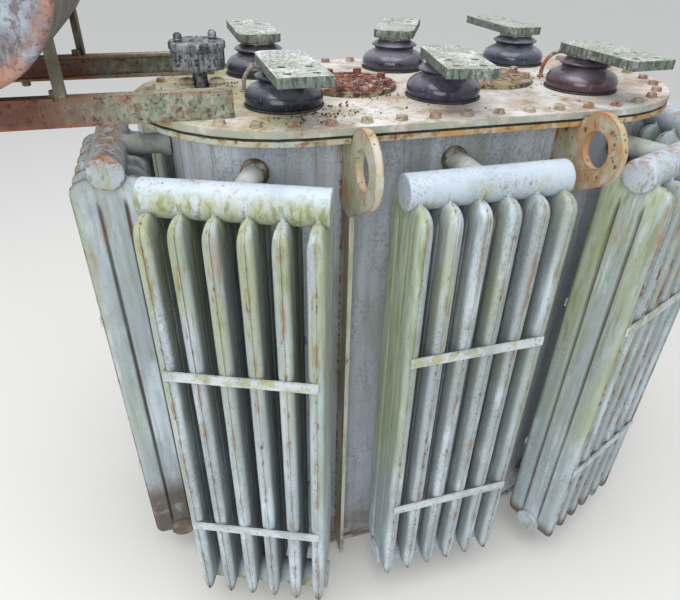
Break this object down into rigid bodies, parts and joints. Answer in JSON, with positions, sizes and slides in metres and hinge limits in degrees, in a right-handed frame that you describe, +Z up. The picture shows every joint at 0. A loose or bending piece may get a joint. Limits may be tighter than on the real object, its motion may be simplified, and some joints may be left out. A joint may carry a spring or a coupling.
{
  "type": "oil-filled power transformer",
  "caption": "Weathered oil-filled power transformer: obround tank, pressed-panel radiators, bolted cover with porcelain bushings and flat terminal palms, drum conservator on channel beams.",
  "frame": {"origin": "on the ground, under the middle of the whole object's bounding box", "axes": "+Z up, +X along the tank's long side away from the conservator, -Y towards the front row of terminals"},
  "size_m": [1.836, 0.9916, 1.761],
  "materials": {
    "grey_blue_paint": "weathered grey-blue paint with algae, mould and rust runs",
    "worn_cover_paint": "worn cream paint with algae and rust stains",
    "rusty_edge": "worn paint over orange rust",
    "scaly_rust": "scaly red-brown rust",
    "gasket_rubber": "aged black rubber",
    "dark_glazed_porcelain": "dark glossy ceramic glaze",
    "weathered_palm_metal": "weathered grey-green metal with dark speckle",
    "weathered_cast_metal": "weathered grey casting",
    "rusted_beam_steel": "red-brown rust fading into lichen-stained paint",
    "stained_drum_paint": "stained grey-white paint with a rusty rim"
  },
  "bodies": {
    "root": {"tank_bottom_plate": "grey_blue_paint", "tank_shell": "grey_blue_paint", "tank_flange": "rusty_edge", "cover_gasket": "gasket_rubber", "cover_plate": "worn_cover_paint", "lifting_eye_front_left": "rusty_edge", "lifting_eye_front_right": "rusty_edge", "lifting_eye_back_left": "rusty_edge", "lifting_eye_back_right": "rusty_edge", "wall_stiffener_front_left": "grey_blue_paint", "wall_stiffener_front_right": "grey_blue_paint", "wall_stiffener_back_left": "grey_blue_paint", "wall_stiffener_back_right": "grey_blue_paint", "radiator_front_centre": "grey_blue_paint", "radiator_front_right": "grey_blue_paint", "radiator_right_end": "grey_blue_paint", "radiator_back_right": "grey_blue_paint", "radiator_back_centre": "grey_blue_paint", "radiator_back_left": "grey_blue_paint", "radiator_left_end": "grey_blue_paint", "radiator_front_left": "grey_blue_paint", "bushing_front_left": "dark_glazed_porcelain", "bushing_front_centre": "dark_glazed_porcelain", "bushing_front_right": "dark_glazed_porcelain", "bushing_back_left": "dark_glazed_porcelain", "bushing_back_centre": "dark_glazed_porcelain", "bushing_back_right": "dark_glazed_porcelain", "terminal_palm_front_left": "weathered_palm_metal", "terminal_palm_front_centre": "weathered_palm_metal", "terminal_palm_front_right": "weathered_palm_metal", "terminal_palm_back_left": "weathered_palm_metal", "terminal_palm_back_centre": "weathered_palm_metal", "terminal_palm_back_right": "weathered_palm_metal", "inspection_cover_left": "scaly_rust", "inspection_cover_right": "scaly_rust", "cover_lifting_loop_left": "scaly_rust", "cover_lifting_loop_right": "scaly_rust", "pressure_relief_device": "weathered_cast_metal", "conservator_beam_front": "rusted_beam_steel", "conservator_beam_back": "rusted_beam_steel", "drum_post_front_left": "rusted_beam_steel", "drum_post_front_right": "rusted_beam_steel", "drum_post_back_left": "rusted_beam_steel", "drum_post_back_right": "rusted_beam_steel", "conservator_drum": "stained_drum_paint"}
  },
  "joints": []
}
